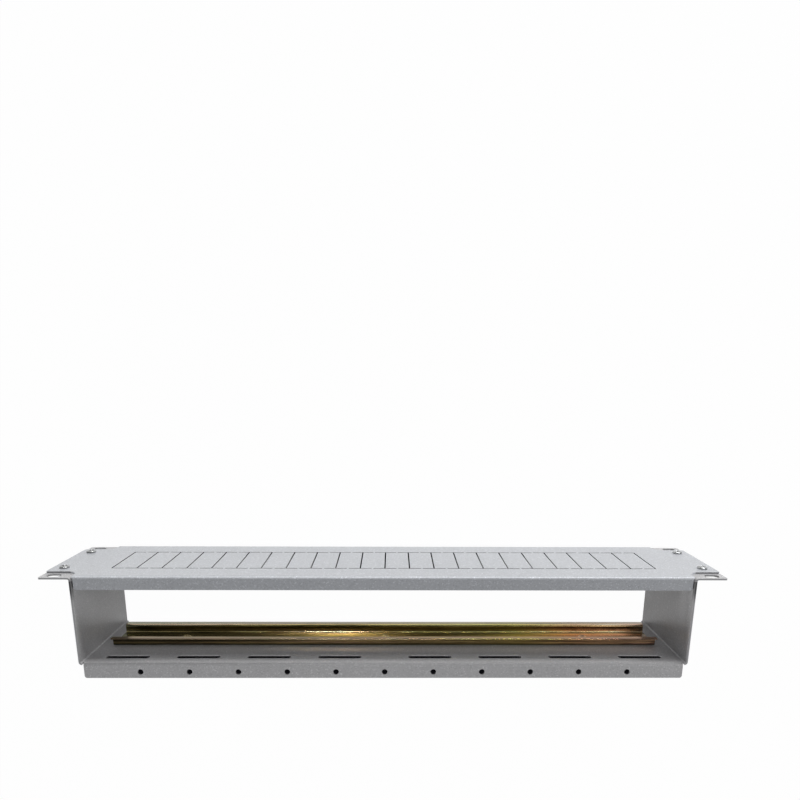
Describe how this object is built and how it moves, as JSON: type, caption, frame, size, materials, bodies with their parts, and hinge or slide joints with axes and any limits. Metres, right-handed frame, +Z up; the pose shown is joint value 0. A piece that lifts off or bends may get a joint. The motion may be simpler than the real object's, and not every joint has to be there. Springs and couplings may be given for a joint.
{
  "type": "rack power distribution unit",
  "caption": "Rack-mount power distribution panel: a folded frame carries a DIN rail behind a cover with break-out blanks for circuit breakers",
  "frame": {"origin": "centre of the four rack slots, on the plane of the ears' rear faces", "axes": "X across the rack, +Y to the rear of the rack, +Z up"},
  "size_m": [0.4826, 0.079, 0.088],
  "materials": {
    "grey_powder_coat": "fine-textured light grey powder coat",
    "yellow_zinc": "yellow passivated zinc plate with iridescent streaks",
    "bright_zinc": "bright zinc plate"
  },
  "bodies": {
    "root": {"rear_frame": "grey_powder_coat", "front_panel": "grey_powder_coat", "din_rail": "yellow_zinc", "panel_screw_upper_left": "bright_zinc", "clinch_nut_upper_left": "bright_zinc", "panel_screw_upper_right": "bright_zinc", "clinch_nut_upper_right": "bright_zinc", "panel_screw_lower_left": "bright_zinc", "clinch_nut_lower_left": "bright_zinc", "panel_screw_lower_right": "bright_zinc", "clinch_nut_lower_right": "bright_zinc", "rail_screw_left": "bright_zinc", "rail_washer_left": "bright_zinc", "rail_nut_left": "bright_zinc", "rail_screw_middle": "bright_zinc", "rail_washer_middle": "bright_zinc", "rail_nut_middle": "bright_zinc", "rail_screw_right": "bright_zinc", "rail_washer_right": "bright_zinc", "rail_nut_right": "bright_zinc"}
  },
  "joints": []
}
